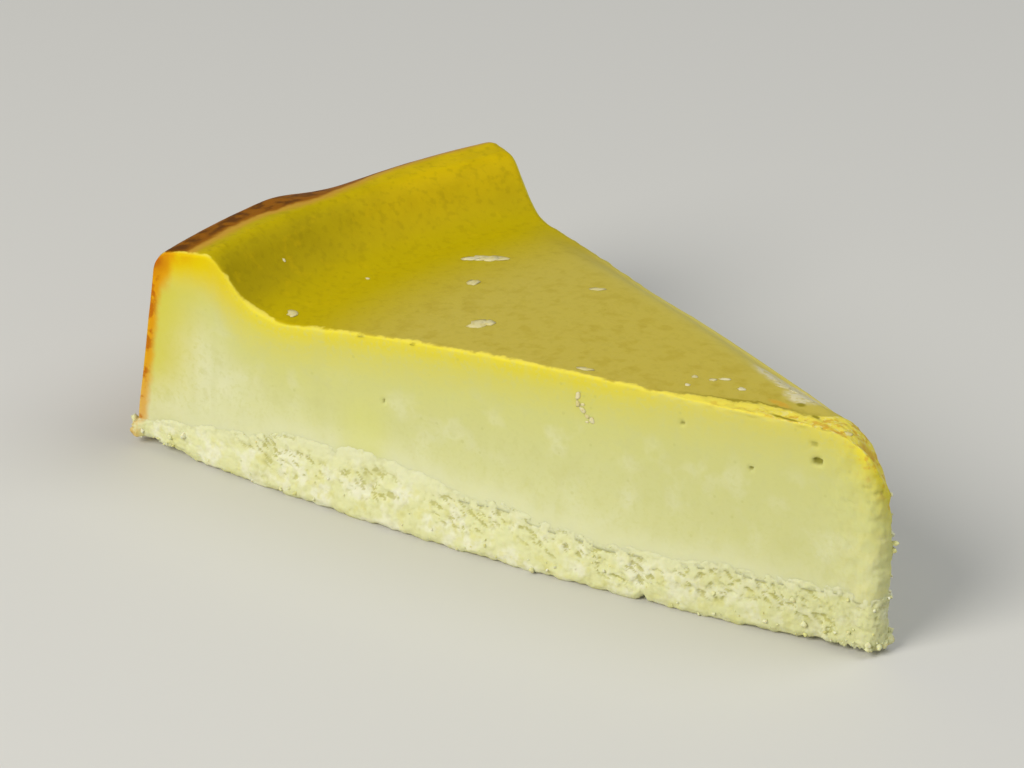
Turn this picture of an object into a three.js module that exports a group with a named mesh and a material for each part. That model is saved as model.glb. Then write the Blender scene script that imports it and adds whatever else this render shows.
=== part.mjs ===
// A slice of baked green tea cheesecake, cut from a round cake, in millimetres with +Z up.
// It has two layers: a pressed crumb base, and the set filling that is poured and baked on it.
// The top is dished inside a raised rim, where the filling has risen up the wall of its tin.
// +X runs from the crust to the tip, and the origin lies under the middle of the slice.

import * as THREE from 'three';
import { mergeGeometries, mergeVertices } from 'three/addons/utils/BufferGeometryUtils.js';
import { ImprovedNoise } from 'three/addons/math/ImprovedNoise.js';

// The cut: a wedge whose two faces would meet in a point, with that point worn to a blunt nose
// that leans back a little towards its top.
const CAKE_RADIUS = 138;
const HALF_WEDGE = THREE.MathUtils.degToRad(14.6);
const NOSE_RADIUS = 2.4;
const NOSE_LEAN = 1.9;
const NOSE_LEAN_START = 14;
const APEX = new THREE.Vector2(72.9, 0);

// The soft sides bulge at the foot, most of all the face on the -Y side.
const BULGE_FRONT = 4.4;
const BULGE_BACK = 1.6;
const BULGE_LEFT_ABOVE = 0.34;
const BULGE_HEIGHT = 17;

// The outer wall leans in a little, as the cake has shrunk from its tin.
const WALL_LEAN = 5;
const WALL_EDGE_RADIUS = 2.6;

// The top, measured up from the table.
const TIP_HEIGHT = 35.4;
const TOP_FALL = 0.027;
const DISH_START = 52;
const DISH_END = 108;
const DISH_DEPTH = 4;
const NOSE_FALL = 14;
const NOSE_FALL_REACH = 5.4;
const NOSE_FALL_DISTANCE = 5.2;
const NOSE_FALL_ANGLE = THREE.MathUtils.degToRad(50);
const BACK_EDGE_WEAR = 3.3;
const BACK_EDGE_WEAR_WIDTH = 3.6;
const BACK_EDGE_WEAR_FADE = 70;
const BACK_EDGE_WEAR_END = 115;

// The rim: a slope of about 48 degrees up to a lip, which is broad and nearly flat over the half
// next to the -Y face and rolls over on the other half. LIP_ROLL is the power of that roll.
const RIM_HEIGHT = 36.4;
const RIM_FOOT_FRONT = 115.4;
const RIM_FOOT_BACK = 111.1;
const RIM_SLOPE = 1.12;
const RIM_FILLET = 2;
const RIM_SHOULDER = 2.4;
const CREST_FRONT = 122;
const CREST_BACK = 124;
const LIP_FALL_FRONT = 1.9;
const LIP_FALL_BACK = 5.9;
const LIP_ROLL = 1.4;
const LIP_ROLL_START = THREE.MathUtils.degToRad(-4);
const LIP_ROLL_FULL = THREE.MathUtils.degToRad(3);

// The crumb base, and how far its worn lower edge is lifted from the table.
const BASE_HEIGHT = 9.3;
const BASE_WAVE = 1.5;
const BASE_WAVE_LENGTH = 102;
const BASE_WAVE_CREST = 92;
const BASE_THINNING = 5;
const BASE_THINNING_START = 90;
const BASE_LIP = 1.1;
const BASE_LIP_HEIGHT = 3;
const BASE_LIP_TOP = 6;
const EDGE_LIFT = 0.35;
const TIP_LIFT = 1.8;
const TIP_LIFT_END = 42;
const CRUST_LIFT = 1.3;
const CRUST_LIFT_START = 114;
const EDGE_INSET = 0.7;
const RUN_PER_LIFT = 3.5;

// Relief: crumb lumps on the base, knife drag on the cut filling, and the torn nose.
const JOINT_LUMP_SIZE = 7;
const CRUMB_SIZE = 4.4;
const GRAIN_SIZE = 1.9;
const CRUMB_RELIEF = 0.8;
const DRAG_SIZE = 6;
const DRAG_LENGTH = 40;
const DRAG_RELIEF = 0.12;
const TEAR_WIDTH = 5;
const TEAR_HEIGHT = 2.6;
const TEAR_RELIEF = 0.4;
const TEAR_REACH = 14;
const LAYER_GAP = 0.3;

// The mesh: columns along the cut faces, rows across the wedge, levels up each layer.
const COLUMNS = 62;
const ROWS = 26;
const BASE_LEVELS = 8;
const FILLING_LEVELS = 8;
const RIM_COLUMN_SHARE = 0.3;
const EDGE_COLUMN_CROWDING = 0.45;
const WALL_COLUMNS_START = 60;
const NOSE_START = 16;
const NOSE_BLEND = 32;

const { clamp, lerp, smoothstep } = THREE.MathUtils;
const noise = new ImprovedNoise();

const wallTop = CAKE_RADIUS - WALL_LEAN;
const frontNormal = new THREE.Vector2(Math.sin(HALF_WEDGE), -Math.cos(HALF_WEDGE));
const backNormal = new THREE.Vector2(Math.sin(HALF_WEDGE), Math.cos(HALF_WEDGE));

// A point at a distance and an angle from the apex, with the angle measured from -X.
function fromApex(radius, angle) {
  return new THREE.Vector2(-radius * Math.cos(angle), radius * Math.sin(angle));
}

// The blunt nose in plan: a piece of each cut face with a round between them.
const nose = new THREE.CurvePath();
const noseTouch = NOSE_RADIUS / Math.tan(HALF_WEDGE);
const noseCentre = new THREE.Vector2(-NOSE_RADIUS / Math.sin(HALF_WEDGE), 0);
const noseTurn = Math.PI / 2 - HALF_WEDGE;
nose.add(new THREE.LineCurve(fromApex(NOSE_START, -HALF_WEDGE), fromApex(noseTouch, -HALF_WEDGE)));
nose.add(new THREE.EllipseCurve(noseCentre.x, 0, NOSE_RADIUS, NOSE_RADIUS, -noseTurn, noseTurn));
nose.add(new THREE.LineCurve(fromApex(noseTouch, HALF_WEDGE), fromApex(NOSE_START, HALF_WEDGE)));
const noseFall = noseCentre.clone().add(fromApex(-NOSE_FALL_DISTANCE, -NOSE_FALL_ANGLE));

// Radius of the outer wall at a height.
function wallRadius(z) {
  return CAKE_RADIUS - WALL_LEAN * clamp(z / RIM_HEIGHT, 0, 1);
}

// Distance of a column from the apex: closer columns round the rim than on the flat top.
function columnRadius(u) {
  if (u < RIM_COLUMN_SHARE) {
    const share = u / RIM_COLUMN_SHARE;
    const crowded = share * (1 - EDGE_COLUMN_CROWDING * (1 - share));
    return lerp(wallTop, DISH_END, crowded);
  }
  return lerp(DISH_END, NOSE_START, (u - RIM_COLUMN_SHARE) / (1 - RIM_COLUMN_SHARE));
}

// Height of the top surface at a distance, an angle and a place in plan.
function topHeight(radius, angle, place) {
  const across = smoothstep(angle, -HALF_WEDGE, HALF_WEDGE);
  const dish = clamp((radius - DISH_START) / (DISH_END - DISH_START), 0, 1);
  const flat = TIP_HEIGHT - TOP_FALL * Math.min(radius, DISH_END) - DISH_DEPTH * dish * dish;
  const foot = lerp(RIM_FOOT_FRONT, RIM_FOOT_BACK, across);
  const climb = RIM_SLOPE * RIM_FILLET * Math.log1p(Math.exp((radius - foot) / RIM_FILLET));
  const fall = lerp(LIP_FALL_FRONT, LIP_FALL_BACK, smoothstep(angle, LIP_ROLL_START, LIP_ROLL_FULL));
  const crest = lerp(CREST_FRONT, CREST_BACK, across);
  const lip = RIM_HEIGHT - fall * (Math.max(0, radius - crest) / (wallTop - crest)) ** LIP_ROLL;
  const gap = Math.max(0, 1 - Math.abs(flat + climb - lip) / RIM_SHOULDER);
  const shoulder = Math.min(flat + climb, lip) - gap * gap * RIM_SHOULDER / 4;
  const inEdge = clamp(1 - (wallTop - radius) / WALL_EDGE_RADIUS, 0, 1);
  const rounded = WALL_EDGE_RADIUS * (1 - Math.sqrt(1 - inEdge * inEdge));
  const fromNose = place.distanceTo(noseFall) / NOSE_FALL_REACH;
  const fromBackEdge = radius * (HALF_WEDGE - angle) / BACK_EDGE_WEAR_WIDTH;
  const wear = BACK_EDGE_WEAR * (1 - smoothstep(radius, BACK_EDGE_WEAR_FADE, BACK_EDGE_WEAR_END));
  return shoulder - rounded - NOSE_FALL * Math.exp(-fromNose * fromNose)
    - wear * Math.exp(-fromBackEdge * fromBackEdge);
}

// Height of the joint between the layers, which waves and thins out towards the crust.
function jointHeight(radius, angle) {
  const wave = Math.cos(2 * Math.PI * (radius - BASE_WAVE_CREST) / BASE_WAVE_LENGTH + 2 * angle);
  const lumps = noise.noise(radius / JOINT_LUMP_SIZE, angle * CAKE_RADIUS / JOINT_LUMP_SIZE, 0.5);
  const thinning = BASE_THINNING * smoothstep(radius, BASE_THINNING_START, CAKE_RADIUS);
  return BASE_HEIGHT + BASE_WAVE * wave + lumps - thinning;
}

// How far the worn lower edge of the base is lifted at the tip and at the crust.
function tipLift(radius) {
  return TIP_LIFT * (1 - smoothstep(radius, NOSE_START, TIP_LIFT_END));
}

function crustLift(radius) {
  return CRUST_LIFT * smoothstep(radius, CRUST_LIFT_START, wallTop);
}

// A place in plan for u from the crust to the tip, v from the -Y face to the other, at height z.
function planPlace(u, v, z, inset, relief) {
  const angle = lerp(-HALF_WEDGE, HALF_WEDGE, v);
  const column = columnRadius(u);
  const radius = column + (wallRadius(z) - wallTop) * smoothstep(column, WALL_COLUMNS_START, wallTop);
  const place = fromApex(Math.max(radius, NOSE_BLEND), angle);
  if (radius < NOSE_BLEND) {
    const share = (NOSE_BLEND - radius) / (NOSE_BLEND - NOSE_START);
    place.lerp(nose.getPoint(v), share);
    place.x -= NOSE_LEAN * share * smoothstep(z, NOSE_LEAN_START, TIP_HEIGHT);
  }
  const along = Math.sin(Math.PI * clamp((radius - noseTouch) / (CAKE_RADIUS - noseTouch), 0, 1));
  const bulge = along * lerp(1, BULGE_LEFT_ABOVE, smoothstep(z, 0, BULGE_HEIGHT));
  place.addScaledVector(frontNormal, BULGE_FRONT * bulge * (1 - v));
  place.addScaledVector(backNormal, BULGE_BACK * bulge * v);

  const outward = new THREE.Vector2();
  if (v === 0) outward.add(frontNormal);
  if (v === 1) outward.add(backNormal);
  if (u === 0) outward.add(fromApex(1, angle));
  if (u === 1) outward.add(place.clone().sub(noseCentre).normalize());
  return place.addScaledVector(outward.normalize(), relief(place, z) - inset);
}

function noRelief() {
  return 0;
}

// The edge that both layers share where they meet.
function jointPlace(u, v) {
  const z = jointHeight(columnRadius(u), lerp(-HALF_WEDGE, HALF_WEDGE, v));
  return planPlace(u, v, z, 0, noRelief);
}

function crumbRelief(place, z) {
  const lumps = noise.noise(place.x / CRUMB_SIZE, place.y / CRUMB_SIZE, z / CRUMB_SIZE);
  const grains = noise.noise(place.x / GRAIN_SIZE, place.y / GRAIN_SIZE, z / GRAIN_SIZE);
  return CRUMB_RELIEF * (lumps + grains / 2);
}

function cutRelief(place, z) {
  const drag = noise.noise(place.x / DRAG_SIZE, place.y / DRAG_SIZE, z / DRAG_LENGTH);
  const tear = noise.noise(place.x / TEAR_WIDTH, place.y / TEAR_WIDTH, z / TEAR_HEIGHT);
  const nearNose = 1 - smoothstep(place.distanceTo(noseCentre), NOSE_RADIUS, TEAR_REACH);
  return DRAG_RELIEF * drag + TEAR_RELIEF * tear * nearNose;
}

// The foot of the base stands a little proud of the browned wall.
function baseLip(radius, z) {
  const atWall = smoothstep(radius, wallTop - BASE_LIP_HEIGHT, wallTop);
  return BASE_LIP * atWall * (1 - smoothstep(z, BASE_LIP_HEIGHT, BASE_LIP_TOP));
}

// The edge of the flat underside, drawn in from the lifted edge at both ends.
function underside(u, v) {
  const radius = columnRadius(u);
  const place = planPlace(u, v, 0, EDGE_INSET, noRelief);
  place.multiplyScalar(1 - RUN_PER_LIFT * crustLift(radius) / CAKE_RADIUS);
  place.x -= RUN_PER_LIFT * tipLift(radius);
  return new THREE.Vector3(place.x, place.y, 0);
}

// One point of the crumb base, with level 0 the flat underside and 1 the joint.
function baseSurface(u, v, level) {
  if (level === 0) return underside(u, v);
  const radius = columnRadius(u);
  const lift = EDGE_LIFT + tipLift(radius) + crustLift(radius);
  const top = jointHeight(radius, lerp(-HALF_WEDGE, HALF_WEDGE, v)) - LAYER_GAP / 2;
  const z = lerp(lift, top, (level * BASE_LEVELS - 1) / (BASE_LEVELS - 1));
  const relief = (place, height) => crumbRelief(place, height) + baseLip(radius, height);
  const place = level === 1 ? jointPlace(u, v) : planPlace(u, v, z, 0, relief);
  return new THREE.Vector3(place.x, place.y, z);
}

// One point of the filling, with level 0 the joint and 1 the top.
function fillingSurface(u, v, level) {
  const radius = columnRadius(u);
  const angle = lerp(-HALF_WEDGE, HALF_WEDGE, v);
  const bottom = jointHeight(radius, angle) + LAYER_GAP / 2;
  const top = topHeight(radius, angle, planPlace(u, v, TIP_HEIGHT, 0, noRelief));
  const z = lerp(bottom, top, level);
  const place = level === 0 ? jointPlace(u, v) : planPlace(u, v, z, 0, cutRelief);
  return new THREE.Vector3(place.x, place.y, z);
}

// A grid of columns by rows, whose points are placed by a function of two shares from 0 to 1.
function sheet(columns, rows, point) {
  const geometry = new THREE.PlaneGeometry(1, 1, columns, rows);
  geometry.deleteAttribute('normal');
  geometry.deleteAttribute('uv');
  const position = geometry.attributes.position;
  for (let i = 0; i < position.count; i += 1) {
    const a = Math.round((position.getX(i) + 0.5) * columns) / columns;
    const b = Math.round((position.getY(i) + 0.5) * rows) / rows;
    position.setXYZ(i, ...point(a, b));
  }
  return geometry;
}

// A flat or waved end that spans the two cut faces, closed at the nose and at the crust by a fan
// round a hub that lies halfway between their outline and its chord.
function span(surface, level, facesUp) {
  const across = sheet(COLUMNS, 1, (a, b) => surface(a, b, level));
  const fans = [0, 1].map((u) => {
    const outline = [];
    for (let row = 0; row <= ROWS; row += 1) outline.push(surface(u, row / ROWS, level));
    const chord = outline[0].clone().lerp(outline[ROWS], 0.5);
    const hub = chord.lerp(outline[ROWS / 2], 0.5);
    if (u === 0) outline.reverse();
    const index = [0, ROWS + 1, 1];
    for (let row = 1; row <= ROWS; row += 1) index.push(0, row, row + 1);
    const fan = new THREE.BufferGeometry().setFromPoints([hub, ...outline]);
    return fan.setIndex(index);
  });
  const pieces = [across, ...fans];
  if (!facesUp) pieces.forEach((piece) => piece.index.array.reverse());
  return pieces;
}

// A closed layer: four sides, an underside and a top.
function layer(surface, levels, top) {
  const sides = [
    sheet(COLUMNS, levels, (a, b) => surface(a, 0, b)),
    sheet(levels, COLUMNS, (a, b) => surface(b, 1, a)),
    sheet(ROWS, levels, (a, b) => surface(1, a, b)),
    sheet(levels, ROWS, (a, b) => surface(0, b, a)),
  ];
  const pieces = [...sides, ...span(surface, 0, false), ...top];
  const closed = mergeVertices(mergeGeometries(pieces), 1e-4);
  closed.translate(APEX.x, APEX.y, 0);
  closed.computeVertexNormals();
  return closed;
}

function crumbBase() {
  const geometry = layer(baseSurface, BASE_LEVELS, span(baseSurface, 1, true));
  const material = new THREE.MeshStandardMaterial({ color: 0xdfdcaa, roughness: 0.85, metalness: 0 });
  const mesh = new THREE.Mesh(geometry, material);
  mesh.name = 'crumb_base';
  return mesh;
}

function filling() {
  const top = sheet(COLUMNS, ROWS, (a, b) => fillingSurface(a, b, 1));
  const geometry = layer(fillingSurface, FILLING_LEVELS, [top]);
  const material = new THREE.MeshStandardMaterial({ color: 0xd2d17f, roughness: 0.55, metalness: 0 });
  const mesh = new THREE.Mesh(geometry, material);
  mesh.name = 'cheesecake_filling';
  return mesh;
}

const slice = new THREE.Group();
slice.add(crumbBase(), filling());

export default slice;
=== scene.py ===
# The looks of a slice of baked green tea cheesecake, built round its solids, from the bottom up:
# the pressed crumb base, the baked filling, the crumbs and flecks that cling to them, and then the
# plain ground, the lights and the camera.
import math

import bpy
import numpy as np
from mathutils import Matrix, Vector


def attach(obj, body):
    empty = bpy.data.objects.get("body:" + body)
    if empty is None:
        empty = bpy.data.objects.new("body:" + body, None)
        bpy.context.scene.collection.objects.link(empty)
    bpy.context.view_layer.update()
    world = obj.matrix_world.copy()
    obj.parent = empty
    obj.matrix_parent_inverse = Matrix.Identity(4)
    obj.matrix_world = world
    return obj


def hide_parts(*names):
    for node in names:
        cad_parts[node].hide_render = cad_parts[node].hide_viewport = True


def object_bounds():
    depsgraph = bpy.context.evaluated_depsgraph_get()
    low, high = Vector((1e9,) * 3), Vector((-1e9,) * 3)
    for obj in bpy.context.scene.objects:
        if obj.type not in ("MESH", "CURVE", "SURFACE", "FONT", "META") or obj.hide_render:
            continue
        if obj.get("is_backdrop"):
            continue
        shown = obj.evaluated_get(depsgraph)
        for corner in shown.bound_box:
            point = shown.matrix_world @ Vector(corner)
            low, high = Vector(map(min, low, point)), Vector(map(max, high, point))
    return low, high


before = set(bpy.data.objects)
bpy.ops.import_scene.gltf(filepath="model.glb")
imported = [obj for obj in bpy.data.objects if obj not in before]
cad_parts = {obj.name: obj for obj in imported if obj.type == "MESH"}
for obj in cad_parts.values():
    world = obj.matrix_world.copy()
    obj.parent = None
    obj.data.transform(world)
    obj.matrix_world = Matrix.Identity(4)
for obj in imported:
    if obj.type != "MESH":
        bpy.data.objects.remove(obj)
cad_low, cad_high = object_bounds()


# Crumb base
# Biscuit crumbs bound with butter, pressed about 9 mm thick into the tin and cut with the cake.
# Its cut sides break rather than slice: they are lumpy, with pores where crumbs have dropped out,
# and its foot is ragged. It also sets out the wedge that both layers are cut to.

MM = 0.001

# The wedge, in millimetres and in angles from -X, with its apex just beyond the worn tip.
CAKE_RADIUS = 138
HALF_WEDGE = math.radians(14.6)
NOSE_RADIUS = 2.4
NOSE_LEAN = 1.9
NOSE_LEAN_START = 14
TIP_HEIGHT = 35.4
APEX = np.array([72.9, 0])
BULGE_FRONT = 4.4
BULGE_BACK = 1.6
BULGE_LEFT_ABOVE = 0.34
BULGE_HEIGHT = 17
WALL_LEAN = 5
WALL_TOP = CAKE_RADIUS - WALL_LEAN
RIM_HEIGHT = cad_high.z / MM
DISH_END = 108
NOSE_START = 16
NOSE_BLEND = 32
RIM_COLUMN_SHARE = 0.3
EDGE_COLUMN_CROWDING = 0.45
WALL_COLUMNS_START = 60
NOSE_TOUCH = NOSE_RADIUS / math.tan(HALF_WEDGE)
NOSE_TURN = math.pi / 2 - HALF_WEDGE
NOSE_CENTRE = np.array([-NOSE_RADIUS / math.sin(HALF_WEDGE), 0])
FRONT_NORMAL = np.array([math.sin(HALF_WEDGE), -math.cos(HALF_WEDGE)])
BACK_NORMAL = np.array([math.sin(HALF_WEDGE), math.cos(HALF_WEDGE)])


def smoothstep(value, start, end):
    share = np.clip((value - start) / (end - start), 0, 1)
    return share * share * (3 - 2 * share)


def mix(first, second, share):
    return first + (second - first) * share


def from_apex(radius, angle):
    return np.stack([-radius * np.cos(angle), radius * np.sin(angle)], axis=-1)


def uneven(along, across, size):
    """A smooth unevenness between -1 and 1, with humps about half of size apart."""
    turn = 2 * np.pi / size
    waves = np.sin(turn * (along + 0.31 * across) + 1.3)
    waves = waves + np.sin(turn * (0.62 * along - 0.83 * across) + 4.1)
    return (waves + np.sin(turn * (1.57 * along + 0.44 * across) + 2.2)) / 3


def column_radius(u):
    """Distance of a column from the apex: closer columns round the rim than on the flat top."""
    share = np.clip(u / RIM_COLUMN_SHARE, 0, 1)
    crowded = share * (1 - EDGE_COLUMN_CROWDING * (1 - share))
    rim = mix(WALL_TOP, DISH_END, crowded)
    flat = mix(DISH_END, NOSE_START, np.clip((u - RIM_COLUMN_SHARE) / (1 - RIM_COLUMN_SHARE), 0, 1))
    return np.where(u < RIM_COLUMN_SHARE, rim, flat)


def nose_outline(v):
    """The blunt nose in plan, from the -Y cut round to the other: two straights and an arc."""
    straight = NOSE_START - NOSE_TOUCH
    arc = 2 * NOSE_TURN * NOSE_RADIUS
    along = v * (2 * straight + arc)
    turn = np.clip((along - straight) / NOSE_RADIUS, 0, 2 * NOSE_TURN) - NOSE_TURN
    on_arc = NOSE_CENTRE + NOSE_RADIUS * np.stack([np.cos(turn), np.sin(turn)], axis=-1)
    before = np.maximum(straight - along, 0)[:, None] * from_apex(1, -HALF_WEDGE)
    after = np.maximum(along - straight - arc, 0)[:, None] * from_apex(1, HALF_WEDGE)
    return on_arc + before + after


def wedge_place(u, v, z):
    """Where a point lies in plan, from the apex: u from crust to tip, v from the -Y cut across."""
    angle = mix(-HALF_WEDGE, HALF_WEDGE, v)
    column = column_radius(u)
    lean = WALL_LEAN * (1 - np.clip(z / RIM_HEIGHT, 0, 1))
    radius = column + lean * smoothstep(column, WALL_COLUMNS_START, WALL_TOP)
    share = np.clip((NOSE_BLEND - radius) / (NOSE_BLEND - NOSE_START), 0, 1)
    place = mix(from_apex(np.maximum(radius, NOSE_BLEND), angle), nose_outline(v), share[:, None])
    place[:, 0] -= NOSE_LEAN * share * smoothstep(z, NOSE_LEAN_START, TIP_HEIGHT)
    along = np.sin(np.pi * np.clip((radius - NOSE_TOUCH) / (CAKE_RADIUS - NOSE_TOUCH), 0, 1))
    bulge = along * mix(1, BULGE_LEFT_ABOVE, smoothstep(z, 0, BULGE_HEIGHT))
    place = place + np.outer(BULGE_FRONT * bulge * (1 - v), FRONT_NORMAL)
    return place + np.outer(BULGE_BACK * bulge * v, BACK_NORMAL)


# The joint between the layers waves along the slice and thins out towards the crust.
BASE_HEIGHT = 9.3
BASE_WAVE = 1.5
BASE_WAVE_LENGTH = 102
BASE_WAVE_CREST = 92
BASE_THINNING = 5
BASE_THINNING_START = 90
JOINT_UNEVEN = 0.7
JOINT_UNEVEN_SIZE = 19


def joint_height(u, v):
    radius = column_radius(u)
    angle = mix(-HALF_WEDGE, HALF_WEDGE, v)
    wave = np.cos(2 * np.pi * (radius - BASE_WAVE_CREST) / BASE_WAVE_LENGTH + 2 * angle)
    thinning = BASE_THINNING * smoothstep(radius, BASE_THINNING_START, CAKE_RADIUS)
    lumps = JOINT_UNEVEN * uneven(radius, angle * CAKE_RADIUS, JOINT_UNEVEN_SIZE)
    return BASE_HEIGHT + BASE_WAVE * wave + lumps - thinning


# The ragged foot with its rounded edge, the lip that stands proud of the outer wall, and how far the
# base draws in where it passes under the filling, so that they meet along a ragged line.
FOOT_LIFT = 0.2
FOOT_UNEVEN = 0.3
FOOT_UNEVEN_SIZE = 9
FOOT_RAGGED = 0.2
FOOT_RAGGED_SIZE = 2.9
FOOT_RAGGED_STRETCH = 0.3
FOOT_NOTCH = 0.8
FOOT_NOTCH_PLACE = 44.3
FOOT_NOTCH_WIDTH = 0.5
TIP_LIFT = 0.8
TIP_LIFT_END = 27
CRUST_LIFT = 1.3
CRUST_LIFT_START = 114
FOOT_INSET = 0.5
FOOT_ROUND_HEIGHT = 1.2
BASE_LIP = 1.1
BASE_LIP_HEIGHT = 3
BASE_LIP_TOP = 6
BASE_OVERLAP = 0.9
BASE_TUCK = 0.7
BASE_COLUMNS = 560
BASE_ROWS = 130
BASE_LEVELS = 42


def foot_height(u, v):
    radius = column_radius(u)
    lift = TIP_LIFT * (1 - smoothstep(radius, NOSE_START, TIP_LIFT_END))
    lift = lift + CRUST_LIFT * smoothstep(radius, CRUST_LIFT_START, WALL_TOP)
    across = mix(-1, 1, v) * CAKE_RADIUS
    lift = lift + FOOT_UNEVEN * uneven(radius, across, FOOT_UNEVEN_SIZE)
    ragged = uneven(radius, FOOT_RAGGED_STRETCH * across, FOOT_RAGGED_SIZE)
    lift = lift + FOOT_RAGGED * ragged
    notch = FOOT_NOTCH * np.exp(-((radius - FOOT_NOTCH_PLACE) / FOOT_NOTCH_WIDTH) ** 2) * (v == 0)
    return np.maximum(0, lift + FOOT_LIFT + notch)


def outward(u, v, place):
    """The way out of the side that a point is on, or nothing where it is on none."""
    angle = mix(-HALF_WEDGE, HALF_WEDGE, v)
    way = np.zeros_like(place)
    way[v == 0] += FRONT_NORMAL
    way[v == 1] += BACK_NORMAL
    way[u == 0] += from_apex(1, angle[u == 0])
    way[u == 1] += place[u == 1] - NOSE_CENTRE
    length = np.linalg.norm(way, axis=1, keepdims=True)
    return way / np.where(length > 0, length, 1)


def base_point(u, v, level):
    foot = foot_height(u, v)
    z = mix(foot, joint_height(u, v) + BASE_OVERLAP, level)
    place = wedge_place(u, v, z)
    rounding = FOOT_INSET * np.clip(1 - (z - foot) / FOOT_ROUND_HEIGHT, 0, 1) ** 2
    at_wall = smoothstep(column_radius(u), WALL_TOP - BASE_LIP_HEIGHT, WALL_TOP)
    lip = BASE_LIP * at_wall * (1 - smoothstep(z, BASE_LIP_HEIGHT, BASE_LIP_TOP))
    tuck = BASE_TUCK * np.clip((z - joint_height(u, v)) / BASE_OVERLAP, 0, 1) ** 2
    place = APEX + place + outward(u, v, place) * (lip - rounding - tuck)[:, None]
    return np.column_stack([place, z])


def block(columns, rows, levels, top_shows):
    """A closed block of cells: the shares u, v and level of each corner, and the faces.
    A side that is hidden is a ladder of long quads with a many-sided face at each end."""
    def corner(column, row, level):
        return (column * (rows + 1) + row) * (levels + 1) + level

    def side(first, second, place):
        i, j = np.meshgrid(np.arange(first), np.arange(second), indexing="ij")
        loop = [place(i, j), place(i + 1, j), place(i + 1, j + 1), place(i, j + 1)]
        return np.stack([part.ravel() for part in loop], axis=1).tolist()

    def ladder(level):
        crust = [corner(1, 0, level), corner(1, rows, level)]
        crust += [corner(0, row, level) for row in range(rows, -1, -1)]
        tip = [corner(columns - 1, rows, level), corner(columns - 1, 0, level)]
        tip += [corner(columns, row, level) for row in range(rows + 1)]
        return side(columns - 2, 1, lambda i, j: corner(i + 1, j * rows, level)) + [crust, tip]

    faces = side(columns, levels, lambda i, j: corner(i, 0, j))
    faces += side(levels, columns, lambda i, j: corner(j, rows, i))
    faces += side(rows, levels, lambda i, j: corner(columns, i, j))
    faces += side(levels, rows, lambda i, j: corner(0, j, i))
    faces += [face[::-1] for face in ladder(0)]
    faces += side(columns, rows, lambda i, j: corner(i, j, levels)) if top_shows else ladder(levels)
    used = np.unique(np.concatenate([np.array(face) for face in faces]))
    number = dict(zip(used.tolist(), range(len(used))))
    faces = [[number[each] for each in face] for face in faces]
    level = used % (levels + 1)
    row = used // (levels + 1) % (rows + 1)
    column = used // (levels + 1) // (rows + 1)
    return column / columns, row / rows, level / levels, faces


def make_piece(name, points, faces, fields):
    """A piece from points in millimetres, with a number or a vector at each point for each field."""
    mesh = bpy.data.meshes.new(name)
    mesh.from_pydata((points * MM).tolist(), [], faces)
    for field, values in fields.items():
        kind, key = ("FLOAT", "value") if values.ndim == 1 else ("FLOAT_VECTOR", "vector")
        mesh.attributes.new(field, kind, "POINT").data.foreach_set(key, values.ravel())
    mesh.shade_smooth()
    piece = bpy.data.objects.new(name, mesh)
    bpy.context.scene.collection.objects.link(piece)
    return piece


def add(tree, kind, inputs=(), **settings):
    """Adds a node with its settings. Its inputs, in order or by name, get their values or links."""
    node = tree.nodes.new(kind)
    for setting, value in settings.items():
        setattr(node, setting, value)
    named = inputs if isinstance(inputs, dict) else dict(enumerate(inputs))
    for key, value in named.items():
        if isinstance(value, bpy.types.Node):
            value = next(output for output in value.outputs if output.enabled)
        if isinstance(value, bpy.types.NodeSocket):
            tree.links.new(value, node.inputs[key])
        else:
            node.inputs[key].default_value = value
    return node


def geometry_tree(name, sizes):
    """A Geometry Nodes tree with a named input for each size, and its group input node."""
    tree = bpy.data.node_groups.new(name, "GeometryNodeTree")
    tree.interface.new_socket("Geometry", in_out="OUTPUT", socket_type="NodeSocketGeometry")
    tree.interface.new_socket("Geometry", in_out="INPUT", socket_type="NodeSocketGeometry")
    for size in sizes:
        tree.interface.new_socket(size, in_out="INPUT", socket_type="NodeSocketFloat")
    return tree, add(tree, "NodeGroupInput").outputs


def run_tree(piece, tree, sizes):
    """Runs a tree on a piece with its sizes, and keeps what it makes as the piece's plain mesh."""
    modifier = piece.modifiers.new(tree.name, "NODES")
    modifier.node_group = tree
    for item in tree.interface.items_tree:
        if item.name in sizes:
            modifier[item.identifier] = float(sizes[item.name])
    depsgraph = bpy.context.evaluated_depsgraph_get()
    mesh = bpy.data.meshes.new_from_object(piece.evaluated_get(depsgraph))
    piece.modifiers.remove(modifier)
    piece.data = mesh


def raised(tree, geometry, height):
    """Moves each point out along its normal by a height in millimetres."""
    normal = add(tree, "GeometryNodeInputNormal")
    reach = add(tree, "ShaderNodeMath", (height, MM), operation="MULTIPLY")
    offset = add(tree, "ShaderNodeVectorMath", {0: normal, "Scale": reach}, operation="SCALE")
    return add(tree, "GeometryNodeSetPosition", {"Geometry": geometry, "Offset": offset})


# Relief of the base, in millimetres: pressed lumps, single crumbs, grains, and the pores between the
# crumbs. The pores are short strokes that slant down towards the tip.
crumb_sizes = {
    "Lump size": 5.5, "Lump relief": 0.14, "Crumb size": 1.5, "Crumb relief": 0.11, "Grain size": 0.6,
    "Grain relief": 0.08, "Pore size": 0.66, "Pore length": 1.9, "Pore depth": 0.34,
}
PORE_SLANT = math.radians(25)

# A noise lies mostly between the first two, which are spread from -1 to 1. A crumb stands highest at
# its middle and lowest at its edge, and a pore opens where its noise passes from one to the other.
NOISE_LOW = 0.25
NOISE_HIGH = 0.75
CRUMB_MIDDLE = 0
CRUMB_EDGE = 0.9
PORE_EDGE = 0.51
PORE_MIDDLE = 0.6

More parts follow.
